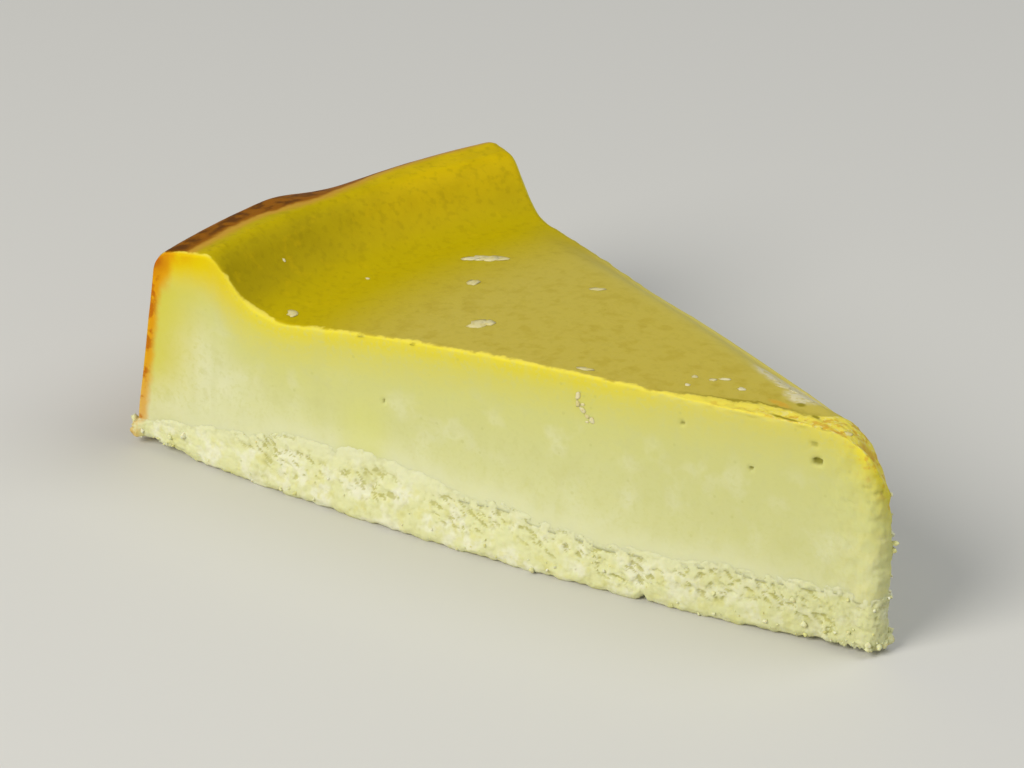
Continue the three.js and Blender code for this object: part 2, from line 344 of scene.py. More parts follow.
# Where crumbs have dropped out of the -Y cut: distance from the apex, and height.
POROUS_PLACES = [
    (112.3, 8.2), (107, 6), (92.5, 6.6), (75.9, 6.2), (68, 8.4), (59.6, 6.3), (52.2, 6.6), (47, 4.6),
    (34, 6), (26.5, 7.4), (19, 6.4), (13, 7.6), (10, 4.4),
]
POROUS_WIDTH = 6
POROUS_HEIGHT = 2.6
POROUS_START = 0.1
POROUS_FULL = 0.6
BACK_POROUS_SIZE = 14
NOSE_POROUS = 0.3
WALL_POROUS = 0.45
SMOOTH_UNDERSIDE = 0.06

tree, size = geometry_tree("crumb_relief", crumb_sizes)
per_metre = {
    name: add(tree, "ShaderNodeMath", (1 / MM, size[name]), operation="DIVIDE")
    for name in ("Lump size", "Crumb size", "Grain size", "Pore size")
}
lumps = add(tree, "ShaderNodeTexNoise", {"Scale": per_metre["Lump size"], "Detail": 2})
lumps = add(tree, "ShaderNodeMapRange", (lumps, NOISE_LOW, NOISE_HIGH, -1, 1), clamp=False)
crumbs = add(tree, "ShaderNodeTexVoronoi", {"Scale": per_metre["Crumb size"]})
crumbs = add(tree, "ShaderNodeMapRange", (crumbs, CRUMB_MIDDLE, CRUMB_EDGE, 1, -1), clamp=False)
grains = add(tree, "ShaderNodeTexNoise", {"Scale": per_metre["Grain size"], "Detail": 1})
grains = add(tree, "ShaderNodeMapRange", (grains, NOISE_LOW, NOISE_HIGH, -1, 1), clamp=False)
position = add(tree, "GeometryNodeInputPosition")
inputs = {"Vector": position, "Angle": -PORE_SLANT}
slanted = add(tree, "ShaderNodeVectorRotate", inputs, rotation_type="Y_AXIS")
pore_shape = add(tree, "ShaderNodeMath", (size["Pore size"], size["Pore length"]), operation="DIVIDE")
pore_shape = add(tree, "ShaderNodeCombineXYZ", (pore_shape, 1, 1))
pore_place = add(tree, "ShaderNodeVectorMath", (slanted, pore_shape), operation="MULTIPLY")
inputs = {"Vector": pore_place, "Scale": per_metre["Pore size"], "Detail": 2}
pores = add(tree, "ShaderNodeTexNoise", inputs)
inputs = (pores, PORE_EDGE, PORE_MIDDLE, 0, 1)
pores = add(tree, "ShaderNodeMapRange", inputs, interpolation_type="SMOOTHSTEP")
porous = add(tree, "GeometryNodeInputNamedAttribute", {"Name": "porous"}, data_type="FLOAT")
pores = add(tree, "ShaderNodeMath", (pores, porous), operation="MULTIPLY")
height = add(tree, "ShaderNodeMath", (pores, size["Pore depth"]), operation="MULTIPLY")
height = add(tree, "ShaderNodeMath", (0, height), operation="SUBTRACT")
for relief, amount in ((lumps, "Lump relief"), (crumbs, "Crumb relief"), (grains, "Grain relief")):
    height = add(tree, "ShaderNodeMath", (relief, size[amount], height), operation="MULTIPLY_ADD")
shows = add(tree, "GeometryNodeInputNamedAttribute", {"Name": "shows"}, data_type="FLOAT")
height = add(tree, "ShaderNodeMath", (height, shows), operation="MULTIPLY")
moved = raised(tree, size["Geometry"], height)
for name, value in (("hollow", pores), ("raised", height)):
    inputs = {"Geometry": moved, "Name": name, "Value": value}
    moved = add(tree, "GeometryNodeStoreNamedAttribute", inputs, data_type="FLOAT", domain="POINT")
add(tree, "NodeGroupOutput", (moved,))

u, v, level, faces = block(BASE_COLUMNS, BASE_ROWS, BASE_LEVELS, top_shows=False)
points = base_point(u, v, level)
distance = np.linalg.norm(points[:, :2] - APEX, axis=1)
porous = np.clip(uneven(distance, points[:, 2], BACK_POROUS_SIZE), 0, 1) * (v > 0)
for place, high in POROUS_PLACES:
    apart = np.hypot((distance - place) / POROUS_WIDTH, (points[:, 2] - high) / POROUS_HEIGHT)
    porous = np.maximum(porous, np.exp(-apart**2) * (v == 0))
porous = np.maximum(porous, NOSE_POROUS * (u == 1))
porous = np.maximum(porous, WALL_POROUS * (u == 0))
base_fields = {
    "shows": smoothstep(level, 0, SMOOTH_UNDERSIDE),
    "porous": smoothstep(porous, POROUS_START, POROUS_FULL),
    "wall": (u == 0) * 1.0,
    "level": level,
    "from_tip": distance,
    "from_wall": WALL_TOP - column_radius(u),
}
crumb_base = make_piece("pressed_crumb_base", points, faces, base_fields)
run_tree(crumb_base, tree, crumb_sizes)


def colour(sheet):
    """An sRGB hex colour as linear light, which is what a shader takes."""
    parts = np.array([int(sheet[start:start + 2], 16) for start in (1, 3, 5)]) / 255
    linear = np.where(parts <= 0.04045, parts / 12.92, ((parts + 0.055) / 1.055) ** 2.4)
    return [*linear.tolist(), 1]


def new_material(name):
    material = bpy.data.materials.new(name)
    material.use_nodes = True
    material.node_tree.nodes.clear()
    return material, material.node_tree


def layered(tree, shade, layers):
    """Lays colours over one another. The share of each is the product of its smooth steps: a value,
    where the step starts and ends, and the shares before and after it."""
    for over, *steps in layers:
        share = 1
        for step in steps:
            step = add(tree, "ShaderNodeMapRange", step, interpolation_type="SMOOTHSTEP")
            share = add(tree, "ShaderNodeMath", (share, step), operation="MULTIPLY")
        shade = add(tree, "ShaderNodeMix", {0: share, 6: shade, 7: over}, data_type="RGBA")
    return shade


# Pressed biscuit crumb: dry, matte and pale, with whiter and yellower patches, painted olive shade
# in its pores and hollows, and a toasted edge at the crust. Butter lets a little light through.
CRUMB_TONE = colour("#DBDBA6")
CRUMB_WHITE = colour("#E6E5CA")
CRUMB_YELLOW = colour("#DAD790")
CRUMB_PORE_SHADE = colour("#AEA956")
CRUMB_DULL = colour("#CBCB90")
JOINT_TONE = colour("#DADAAE")
CRUMB_TOASTED = colour("#D8B25A")
CRUMB_CRUST = colour("#D6A240")
CRUMB_GRIT = 0.5

crumb_material, tree = new_material("pressed_biscuit_crumb")
place = add(tree, "ShaderNodeTexCoord").outputs["Object"]
at = {
    name: add(tree, "ShaderNodeAttribute", attribute_name=name).outputs["Fac"]
    for name in ("raised", "hollow", "wall", "level", "from_tip", "from_wall")
}
noises = {
    width: add(tree, "ShaderNodeTexNoise", {"Vector": place, "Scale": 1 / (width * MM), "Detail": 3})
    for width in (2, 3.4, 5)
}
shade = layered(tree, CRUMB_TONE, (
    (CRUMB_WHITE, (noises[3.4], 0.45, 0.62, 0, 0.8)),
    (CRUMB_YELLOW, (noises[2], 0.52, 0.66, 0, 0.6)),
    (CRUMB_DULL, (at["from_tip"], 12, 60, 0.5, 0)),
    (JOINT_TONE, (at["level"], 0.6, 0.9, 0, 0.8), (at["from_tip"], 10, 30, 0, 1)),
    # Painted shade: the olive pore colour lies in the low spots of the relief and in the pores.
    (CRUMB_PORE_SHADE, (at["raised"], -0.28, 0.02, 0.4, 0)),
    (CRUMB_PORE_SHADE, (at["hollow"], 0.1, 1, 0, 0.47)),
    (CRUMB_CRUST, (at["from_wall"], 0.3, 1.8, 0.6, 0), (noises[2], 0.4, 0.6, 0.2, 1)),
    (CRUMB_TOASTED, (at["wall"], 0, 1, 0, 1), (noises[5], 0.4, 0.6, 0.15, 0.7)),
))
grit = add(tree, "ShaderNodeTexNoise", {"Vector": place, "Scale": 1 / (CRUMB_GRIT * MM), "Detail": 2})
bump = add(tree, "ShaderNodeBump", {"Height": grit, "Strength": 0.45, "Distance": 0.15 * MM})
surface = add(tree, "ShaderNodeBsdfPrincipled", {
    "Base Color": shade, "Roughness": 0.85, "IOR": 1.45, "Specular IOR Level": 0.3, "Normal": bump,
    "Subsurface Weight": 0.2, "Subsurface Radius": (1, 0.8, 0.4), "Subsurface Scale": 1.5 * MM,
})
add(tree, "ShaderNodeOutputMaterial", (surface,))

crumb_base.data.materials.clear()
crumb_base.data.materials.append(crumb_material)
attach(crumb_base, "root")
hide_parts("crumb_base")


# Filling
# Cream cheese, eggs and green tea powder, baked until it sets. Its cut faces are smooth and moist,
# palest low down and bright yellow just under the golden skin. The top has sunk inside the rim,
# and the outer wall has browned against the tin.

# The top: the dish, the worn nose and back edge, and the climb to the rim with its lip.
TOP_FALL = 0.027
DISH_START = 52
DISH_DEPTH = 4
NOSE_FALL = 14
NOSE_FALL_REACH = 5.4
NOSE_FALL_DISTANCE = 5.2
NOSE_FALL_ANGLE = math.radians(50)
NOSE_FALL_CENTRE = NOSE_CENTRE + from_apex(-NOSE_FALL_DISTANCE, -NOSE_FALL_ANGLE)
BACK_EDGE_WEAR = 3.3
BACK_EDGE_WEAR_WIDTH = 3.6
BACK_EDGE_WEAR_FADE = 70
BACK_EDGE_WEAR_END = 115
WALL_EDGE_RADIUS = 2.6
RIM_FOOT_FRONT = 115.4
RIM_FOOT_BACK = 111.1
RIM_SLOPE = 1.12
RIM_FILLET = 2
RIM_SHOULDER = 2.4
CREST_FRONT = 122
CREST_BACK = 124
LIP_FALL_FRONT = 1.9
LIP_FALL_BACK = 5.9
LIP_ROLL = 1.4
LIP_ROLL_START = math.radians(-4)
LIP_ROLL_FULL = math.radians(3)

# How far the filling reaches below the joint, and how its foot draws in there.
FILLING_OVERLAP = 0.9
FILLING_TUCK = 0.2
FILLING_TUCK_HEIGHT = 5
NOSE_TUCK_SHARE = 0.35
FILLING_COLUMNS = 330
FILLING_ROWS = 110
FILLING_LEVELS = 60


def top_height(u, v):
    """Height of the skin: a shallow dish, the climb to the rim, and the worn nose and back edge."""
    radius = column_radius(u)
    angle = mix(-HALF_WEDGE, HALF_WEDGE, v)
    place = wedge_place(u, v, TIP_HEIGHT + 0 * u)
    across = smoothstep(angle, -HALF_WEDGE, HALF_WEDGE)
    dish = np.clip((radius - DISH_START) / (DISH_END - DISH_START), 0, 1)
    flat = TIP_HEIGHT - TOP_FALL * np.minimum(radius, DISH_END) - DISH_DEPTH * dish * dish
    foot = mix(RIM_FOOT_FRONT, RIM_FOOT_BACK, across)
    climb = RIM_SLOPE * RIM_FILLET * np.log1p(np.exp((radius - foot) / RIM_FILLET))
    fall = mix(LIP_FALL_FRONT, LIP_FALL_BACK, smoothstep(angle, LIP_ROLL_START, LIP_ROLL_FULL))
    crest = mix(CREST_FRONT, CREST_BACK, across)
    lip = RIM_HEIGHT - fall * (np.maximum(0, radius - crest) / (WALL_TOP - crest)) ** LIP_ROLL
    gap = np.maximum(0, 1 - np.abs(flat + climb - lip) / RIM_SHOULDER)
    shoulder = np.minimum(flat + climb, lip) - gap * gap * RIM_SHOULDER / 4
    in_edge = np.clip(1 - (WALL_TOP - radius) / WALL_EDGE_RADIUS, 0, 1)
    rounded = WALL_EDGE_RADIUS * (1 - np.sqrt(1 - in_edge * in_edge))
    from_nose = np.linalg.norm(place - NOSE_FALL_CENTRE, axis=1) / NOSE_FALL_REACH
    from_back = radius * (HALF_WEDGE - angle) / BACK_EDGE_WEAR_WIDTH
    wear = BACK_EDGE_WEAR * (1 - smoothstep(radius, BACK_EDGE_WEAR_FADE, BACK_EDGE_WEAR_END))
    return shoulder - rounded - NOSE_FALL * np.exp(-from_nose**2) - wear * np.exp(-from_back**2)


# The top edges of the cuts are soft and a little ragged.
EDGE_FALL = 0.3
EDGE_FALL_UNEVEN = 0.4
EDGE_FALL_SIZE = 5
EDGE_FALL_ACROSS = 60

# What the knife opened in the -Y cut, bubbles first and then tears at the nose: distance from the
# apex, height, and how long, tall and deep each one is.
OPENINGS = [
    (18.1, 29.4, 1.8, 1.3, 0.7), (18.7, 32, 1.7, 0.8, 0.3), (28.5, 25.7, 0.9, 0.8, 0.5),
    (39.7, 30.3, 0.9, 0.8, 0.4), (91, 20.4, 0.6, 1, 0.4), (10.1, 27.4, 1.9, 0.8, 0.2),
    (8.5, 26.5, 1.4, 0.8, 0.22), (12.5, 24.4, 3, 0.5, 0.16), (9.8, 25, 2.2, 0.4, 0.14),
    (9.6, 22.2, 2, 0.5, 0.12), (8, 19.4, 1.8, 0.5, 0.1), (7.6, 14.6, 1.6, 0.7, 0.12),
]
OPENING_FLOOR = 0.3
OPENING_MOUTH = 0.62
# Openings are painted with shade as well as sunk: its share grows with depth and is full at this depth,
# in millimetres.
OPENING_DARKEST = 0.6

# How far the skin has broken back from the -Y cut near the tip, and from the nose.
SKIN_GAP = 0.4
SKIN_BREAK = 3.4
SKIN_BREAK_START = 24
SKIN_BREAK_END = 47
NOSE_BREAK = 14
NOSE_BREAK_START = 14
NOSE_BREAK_END = 20.5
BROKEN_END = 52
BROKEN_FADE = 0.6

# Where the brown of the lip starts: angle in degrees, and distance from the outer wall.
LIP_REACH = [(-14.6, 5.8), (-7, 6), (-4, 8.2), (-1, 9.2), (2, 8.6), (5, 7.6), (14.6, 7.2)]

# Scuffed patches of skin near the tip: distance from the apex, angle in degrees, length and width.
SCUFFS = [(32, 9, 8, 2.5), (26.5, 3.6, 3, 1.9)]

# Spots near the tip where the skin has torn: deep gold ones, and olive ones of painted shade in the
# pits where a crumb of it has gone. Each has a distance from the apex, an angle in degrees, a length and
# a width.
GOLD_SPOTS = [
    (27, -3.9, 2.2, 0.7), (18.9, -7, 1.3, 0.6), (16.6, -7.7, 1.5, 0.7), (14.8, -6.7, 1.2, 0.7),
    (11.6, -10, 1, 0.5), (11.7, -0.1, 1.1, 0.6), (22.6, 6.2, 1.3, 0.5),
]
OLIVE_SPOTS = [
    (24.6, -0.4, 0.9, 0.6), (23.8, -11.8, 3, 0.6), (9.6, -10, 0.8, 0.6), (20.5, -3, 0.9, 0.4),
]

# How far back from the blunt tip the cut is crumbly.
CRUMBLE_REACH = 15


def filling_point(u, v, level):
    bottom = joint_height(u, v) - FILLING_OVERLAP
    z = mix(bottom, top_height(u, v), level)
    place = wedge_place(u, v, z)
    tuck = FILLING_TUCK * smoothstep(z - bottom, FILLING_TUCK_HEIGHT, 0)
    tuck = tuck * mix(NOSE_TUCK_SHARE, 1, smoothstep(column_radius(u), NOSE_START, TIP_LIFT_END))
    return np.column_stack([APEX + place - outward(u, v, place) * tuck[:, None], z])


u, v, level, faces = block(FILLING_COLUMNS, FILLING_ROWS, FILLING_LEVELS, top_shows=True)
points = filling_point(u, v, level)
depth = top_height(u, v) - points[:, 2]
from_wall = WALL_TOP - column_radius(u)
angle = mix(-HALF_WEDGE, HALF_WEDGE, v)
from_tip = np.linalg.norm(points[:, :2] - APEX, axis=1)
on_top = level == 1
on_cut = (v == 0) | (v == 1) | (u == 1)
on_wall = (u == 0) & ~on_cut
edge = EDGE_FALL * (1 + EDGE_FALL_UNEVEN * uneven(from_tip, EDGE_FALL_ACROSS * v, EDGE_FALL_SIZE))
points[:, 2] -= edge * (on_top & (on_cut | on_wall))
opened = np.zeros(len(u))
sunk = np.zeros(len(u))
for place, high, length, tall, deep in OPENINGS:
    apart = np.hypot((from_tip - place) / length, (points[:, 2] - high) / tall)
    hole = (1 - smoothstep(apart, OPENING_FLOOR, OPENING_MOUTH)) * (on_cut & (v < 0.5))
    opened = np.maximum(opened, hole * min(1, deep / OPENING_DARKEST))
    sunk = np.maximum(sunk, deep * hole)
skin_break = SKIN_GAP + SKIN_BREAK * (1 - smoothstep(from_tip, SKIN_BREAK_START, SKIN_BREAK_END))
skin_break = skin_break + NOSE_BREAK * (1 - smoothstep(from_tip, NOSE_BREAK_START, NOSE_BREAK_END))
brown_angle, brown_reach = np.array(LIP_REACH).T
lip_brown = np.interp(np.degrees(angle), brown_angle, brown_reach)
torn = from_tip * (angle + HALF_WEDGE) - skin_break
spots = {"scuff": SCUFFS, "gold": GOLD_SPOTS, "olive": OLIVE_SPOTS}
for kind, table in spots.items():
    spots[kind] = np.zeros(len(u))
    for place, turned, length, width in table:
        sideways = from_tip * (angle - math.radians(turned))
        apart = np.hypot((from_tip - place) / length, sideways / width)
        spots[kind] = np.maximum(spots[kind], np.exp(-apart**2))
filling_fields = {
    "depth": depth,
    "from_joint": points[:, 2] - joint_height(u, v),
    "from_wall": from_wall,
    "from_tip": from_tip,
    "from_back": from_tip * (HALF_WEDGE - angle),
    "across": angle / HALF_WEDGE,
    "skin_edge": torn,
    "lip_edge": from_wall - lip_brown,
    **spots,
    "skin": (on_top & ~on_cut) * 1.0,
    "wall": on_wall * 1.0,
    "opened": opened,
    "sunk": sunk,
    "broken": on_top * smoothstep(torn, BROKEN_FADE, -BROKEN_FADE) * (from_tip < BROKEN_END),
    "crumbly": np.clip(1 - (from_tip - NOSE_TOUCH) / CRUMBLE_REACH, 0, 1) ** 2,
}
filling = make_piece("baked_filling", points, faces, filling_fields)

# Relief of the filling, in millimetres: a slow swell and the knife's drag on the cuts, the crumbly
# nose and broken edge of the skin, and the grain of the skin and of the wall.
filling_sizes = {
    "Swell size": 16, "Swell relief": 0.12, "Drag size": 2.4, "Drag length": 40, "Drag relief": 0.03,
    "Crumble size": 2, "Crumble relief": 0.26, "Skin size": 3, "Skin relief": 0.02,
    "Wall size": 2.2, "Wall relief": 0.14,
}
WALL_RELIEF_DEPTH = 5
tree, size = geometry_tree("filling_relief", filling_sizes)
per_metre = {
    name: add(tree, "ShaderNodeMath", (1 / MM, size[name + " size"]), operation="DIVIDE")
    for name in ("Swell", "Drag", "Crumble", "Skin", "Wall")
}
at = {
    name: add(tree, "GeometryNodeInputNamedAttribute", {"Name": name}, data_type="FLOAT")
    for name in ("skin", "wall", "crumbly", "sunk", "depth", "broken")
}
position = add(tree, "GeometryNodeInputPosition")
drag_shape = add(tree, "ShaderNodeMath", (size["Drag size"], size["Drag length"]), operation="DIVIDE")
drag_shape = add(tree, "ShaderNodeCombineXYZ", (1, 1, drag_shape))
drag_place = add(tree, "ShaderNodeVectorMath", (position, drag_shape), operation="MULTIPLY")
reliefs = {
    "Swell": {},
    "Drag": {"Vector": drag_place},
    "Crumble": {"Detail": 2},
    "Skin": {"Detail": 2},
    "Wall": {"Detail": 3},
}
for name, settings in reliefs.items():
    relief = add(tree, "ShaderNodeTexNoise", {"Scale": per_metre[name], **settings})
    relief = add(tree, "ShaderNodeMapRange", (relief, NOISE_LOW, NOISE_HIGH, -1, 1), clamp=False)
    reliefs[name] = add(tree, "ShaderNodeMath", (relief, size[name + " relief"]), operation="MULTIPLY")
cut = add(tree, "ShaderNodeMath", (reliefs["Swell"], reliefs["Drag"]), operation="ADD")
cut = add(tree, "ShaderNodeMath", (cut, at["sunk"]), operation="SUBTRACT")
wall_share = add(tree, "ShaderNodeMapRange", (at["depth"], 0, WALL_RELIEF_DEPTH, 0, 1))
wall = add(tree, "ShaderNodeMath", (reliefs["Wall"], wall_share), operation="MULTIPLY")
height = add(tree, "ShaderNodeMix", {0: at["skin"], 2: cut, 3: reliefs["Skin"]}, data_type="FLOAT")
height = add(tree, "ShaderNodeMix", {0: at["wall"], 2: height, 3: wall}, data_type="FLOAT")
crumbly = add(tree, "ShaderNodeMath", (at["crumbly"], at["broken"]), operation="MAXIMUM")
inputs = (reliefs["Crumble"], crumbly, height)
height = add(tree, "ShaderNodeMath", inputs, operation="MULTIPLY_ADD")
moved = raised(tree, size["Geometry"], height)
add(tree, "NodeGroupOutput", (moved,))
run_tree(filling, tree, filling_sizes)

# Baked green tea filling: a moist, close paste that scatters light, so its faces look soft. The
# colour steps go by the depth below the skin, in millimetres. The skin is a satin gold, deepest on
# the climb to the rim, the crest carries a tan band that is partly a painted highlight, and the lip
# and the wall are browned in blotches. Painted shade lies in the pits and openings of the cuts, in
# the crack along the broken skin and in the rim's concave corner by the -Y cut, and painted light
# lies on the worn back edge and on the broken skin at the nose.
CUT_STEPS = [
    (0, "#E2D23C"), (1.5, "#DACD44"), (3.5, "#D2CB64"), (8, "#CECD80"), (14, "#CFCF8F"), (24, "#D2D29C"),
]
CUT_DEPTH = 28
CUT_WHITE = colour("#E2E2C2")
CUT_STREAK = colour("#C8C884")
CUT_PIT_SHADE = colour("#B4B468")
CUT_DEEP = colour("#C9C886")
CUT_BAND = colour("#D2D27C")
RIM_GOLD = colour("#DEC404")
WALL_STRAW = colour("#CFC74A")
WALL_ORANGE = colour("#D89604")
WALL_RUST = colour("#B25E08")
NOSE_GOLD = colour("#E6D65A")
NOSE_ORANGE = colour("#CFA032")
NOSE_PALE = colour("#E4DBA6")
OPENING_SHADE = colour("#7F7A22")
SKIN_FLAT = colour("#BEAC46")
SKIN_RIM = colour("#B9A400")
SKIN_BRIGHT = colour("#CDB000")
SKIN_OLIVE_AND_SHADE = colour("#8C7A00")
SKIN_MOTTLE = colour("#AD982C")
SKIN_BROKEN_AND_LIGHT = colour("#E4D350")
SKIN_CRACK_SHADE = colour("#8A7E14")
BACK_EDGE_PAINTED_LIGHT = colour("#DCCC62")
SKIN_SCUFF = colour("#DAD0A4")
CREST_TAN_AND_HIGHLIGHT = colour("#C09030")
LIP_BROWN = colour("#925800")
LIP_DARK = colour("#583000")
WALL_GOLD = colour("#C98D1C")
WALL_BROWN = colour("#8E5510")
STREAK_WIDTH = 2.6
STREAK_STRETCH = 0.05
PIT_SPACING = 3.2
SKIN_ROUGHNESS = 0.55
CUT_ROUGHNESS = 0.62

filling_material, tree = new_material("baked_green_tea_filling")
place = add(tree, "ShaderNodeTexCoord").outputs["Object"]
at = {
    name: add(tree, "ShaderNodeAttribute", attribute_name=name).outputs["Fac"]
    for name in (
        "depth", "from_joint", "from_wall", "from_tip", "from_back", "across", "skin_edge",
        "lip_edge", "scuff", "gold", "olive", "skin", "wall", "opened", "crumbly",
    )
}
noises = {
    width: add(tree, "ShaderNodeTexNoise", {"Vector": place, "Scale": 1 / (width * MM), "Detail": 3})
    for width in (0.7, 1.2, 2.5, 5, 12)
}
upright = add(tree, "ShaderNodeVectorMath", (place, (1, 1, STREAK_STRETCH)), operation="MULTIPLY")
inputs = {"Vector": upright, "Scale": 1 / (STREAK_WIDTH * MM), "Detail": 2}
streaks = add(tree, "ShaderNodeTexNoise", inputs)
pits = add(tree, "ShaderNodeTexVoronoi", {"Vector": place, "Scale": 1 / (PIT_SPACING * MM)})

# Distances made ragged: a noise shifts each of them by up to half of this, in millimetres.
RAGGED = {"from_wall": 1.8, "from_joint": 3, "skin_edge": 3, "lip_edge": 2}
ragged = {}
for name, amount in RAGGED.items():
    shift = add(tree, "ShaderNodeMath", (noises[2.5], 0.5), operation="SUBTRACT")
    ragged[name] = add(tree, "ShaderNodeMath", (shift, amount, at[name]), operation="MULTIPLY_ADD")

ramp = add(tree, "ShaderNodeMath", (at["depth"], CUT_DEPTH), operation="DIVIDE")
ramp = add(tree, "ShaderNodeValToRGB", (ramp,))
while len(ramp.color_ramp.elements) < len(CUT_STEPS):
    ramp.color_ramp.elements.new(1)
for element, (deep, sheet) in zip(ramp.color_ramp.elements, CUT_STEPS):
    element.position = deep / CUT_DEPTH
    element.color = colour(sheet)
cut_shade = layered(tree, ramp.outputs[0], (
    (CUT_WHITE, (at["from_wall"], 8, 34, 1, 0), (at["depth"], 7, 18, 0, 1),
     (noises[12], 0.3, 0.6, 0.2, 0.6)),
    (CUT_DEEP, (at["from_tip"], 28, 60, 0.4, 0), (at["from_tip"], 10, 22, 0, 1)),
    (CUT_STREAK, (streaks, 0.45, 0.7, 0, 0.2)),
    (CUT_WHITE, (noises[5], 0.5, 0.72, 0, 0.35), (at["depth"], 5, 12, 0, 1)),
    (CUT_DEEP, (noises[2.5], 0.5, 0.72, 0, 0.45), (at["depth"], 3, 8, 0, 1)),
    (CUT_STREAK, (noises[0.7], 0.5, 0.68, 0, 0.3)),
    # Painted shade: small darker spots for the pits of the cut, which have no relief of their own.
    (CUT_PIT_SHADE, (pits, 0.05, 0.11, 0.25, 0)),
    (JOINT_TONE, (ragged["from_joint"], 0, 5, 0.8, 0), (at["from_tip"], 10, 30, 0.2, 1)),
    (CUT_BAND, (at["from_tip"], 88, 93, 0, 0.6), (at["from_tip"], 95, 101, 1, 0),
     (at["depth"], 8, 14, 0, 1)),
    (RIM_GOLD, (at["depth"], 1, 9, 1, 0), (at["from_wall"], 8, 20, 1, 0)),
    (WALL_STRAW, (ragged["from_wall"], 1.5, 14, 0.9, 0), (at["from_joint"], 2, 12, 0.2, 1),
     (at["depth"], 3, 8, 0, 1)),
    (WALL_ORANGE, (ragged["from_wall"], 0.7, 2.4, 0.95, 0), (at["depth"], 12, 30, 1, 0.75)),
    (WALL_ORANGE, (ragged["from_wall"], 2.2, 4, 0.9, 0), (at["depth"], 4, 8, 1, 0)),
    (WALL_ORANGE, (at["depth"], 0, 4, 1, 0), (at["from_wall"], 3, 9, 0.9, 0),
     (noises[2.5], 0.35, 0.6, 0.4, 1)),
    (WALL_RUST, (ragged["from_wall"], 0.5, 2, 1, 0), (noises[2.5], 0.5, 0.6, 0, 0.85)),
    (WALL_RUST, (at["depth"], 0.5, 4.5, 1, 0), (ragged["from_wall"], 1, 3.6, 1, 0),
     (noises[5], 0.4, 0.6, 0.2, 0.9)),
    (NOSE_GOLD, (at["crumbly"], 0.3, 0.95, 0, 1), (noises[2.5], 0.42, 0.6, 0, 0.12)),
    (NOSE_ORANGE, (at["crumbly"], 0.3, 0.8, 0, 1), (at["depth"], 1, 6, 1, 0),
     (noises[1.2], 0.5, 0.66, 0, 0.6)),
    # Painted shade in the openings, darker the deeper they are.
    (OPENING_SHADE, (at["opened"], 0.1, 0.9, 0, 0.85)),
))
skin_shade = layered(tree, SKIN_FLAT, (
    (SKIN_RIM, (at["from_wall"], 27, 49, 1, 0)),
    (SKIN_BRIGHT, (at["across"], -0.3, 0.5, 0, 1), (at["from_wall"], 13, 24, 1, 0)),
    # Darker olive in the concave corner of the rim by the -Y cut: partly caramelised skin, partly
    # painted shade.
    (SKIN_OLIVE_AND_SHADE, (at["across"], -1, 0.3, 0.4, 0), (at["from_wall"], 9, 14, 0, 1),
     (at["from_wall"], 15, 23, 1, 0)),
    (SKIN_OLIVE_AND_SHADE, (at["from_wall"], 9, 30, 1, 0), (noises[5], 0.4, 0.7, 0, 0.25)),
    (SKIN_MOTTLE, (at["from_wall"], 27, 45, 0, 1), (noises[2.5], 0.48, 0.68, 0, 0.4)),
    (SKIN_BRIGHT, (at["from_wall"], 6, 45, 0.6, 0), (noises[2.5], 0.54, 0.7, 0, 0.6)),
    (SKIN_OLIVE_AND_SHADE, (at["from_wall"], 8, 50, 0.5, 0.2), (noises[1.2], 0.5, 0.68, 0, 0.5)),
    # A tan band along the crest: partly browned skin, partly a painted highlight where the skin turns
    # over the edge.
    (CREST_TAN_AND_HIGHLIGHT, (ragged["lip_edge"], 0.3, 2.5, 0.95, 0)),
    (LIP_BROWN, (ragged["lip_edge"], -0.7, 0.5, 1, 0)),
    (LIP_DARK, (ragged["lip_edge"], -1.5, 0, 1, 0), (noises[2.5], 0.4, 0.62, 0.1, 0.9)),
    # Painted light along the worn back edge, which rounds over into shade, strongest at the edge itself.
    (BACK_EDGE_PAINTED_LIGHT, (at["from_back"], 1, 8.5, 0.85, 0), (at["from_wall"], 35, 65, 0, 1),
     (at["from_tip"], 14, 26, 0.2, 1)),
    (SKIN_SCUFF, (at["scuff"], 0.2, 0.6, 0, 1), (noises[1.2], 0.38, 0.54, 0.4, 1)),
    # The yellow of the filling where the skin has broken away, also made lighter as painted light where
    # the worn nose faces away from the lights.
    (SKIN_BROKEN_AND_LIGHT, (ragged["skin_edge"], -0.3, 0.3, 1, 0)),
    # Painted shade in the crack along the broken edge of the skin.
    (SKIN_CRACK_SHADE, (ragged["skin_edge"], 0, 0.3, 0, 1), (ragged["skin_edge"], 0.4, 0.9, 0.7, 0),
     (at["from_tip"], 32, 46, 1, 0), (at["from_tip"], 20, 29, 0.25, 1)),
    (NOSE_PALE, (ragged["skin_edge"], -0.6, 0, 1, 0), (noises[0.7], 0.5, 0.66, 0, 0.45),
     (at["from_tip"], 22, 32, 1, 0)),
    (NOSE_ORANGE, (ragged["skin_edge"], -0.6, 0, 1, 0), (noises[1.2], 0.52, 0.62, 0, 0.65),
     (at["from_tip"], 16, 30, 1, 0)),
    (NOSE_ORANGE, (ragged["skin_edge"], -1.4, 0, 1, 0), (ragged["skin_edge"], -4, -2, 0.3, 1),
     (noises[1.2], 0.52, 0.66, 0, 0.7), (at["from_tip"], 22, 46, 1, 0)),
    (NOSE_ORANGE, (at["gold"], 0.2, 0.75, 0, 0.8), (noises[0.7], 0.3, 0.6, 0.5, 1)),
    # Painted shade in the olive pits where a crumb of the skin has gone.
    (SKIN_CRACK_SHADE, (at["olive"], 0.3, 0.8, 0, 0.85)),
))
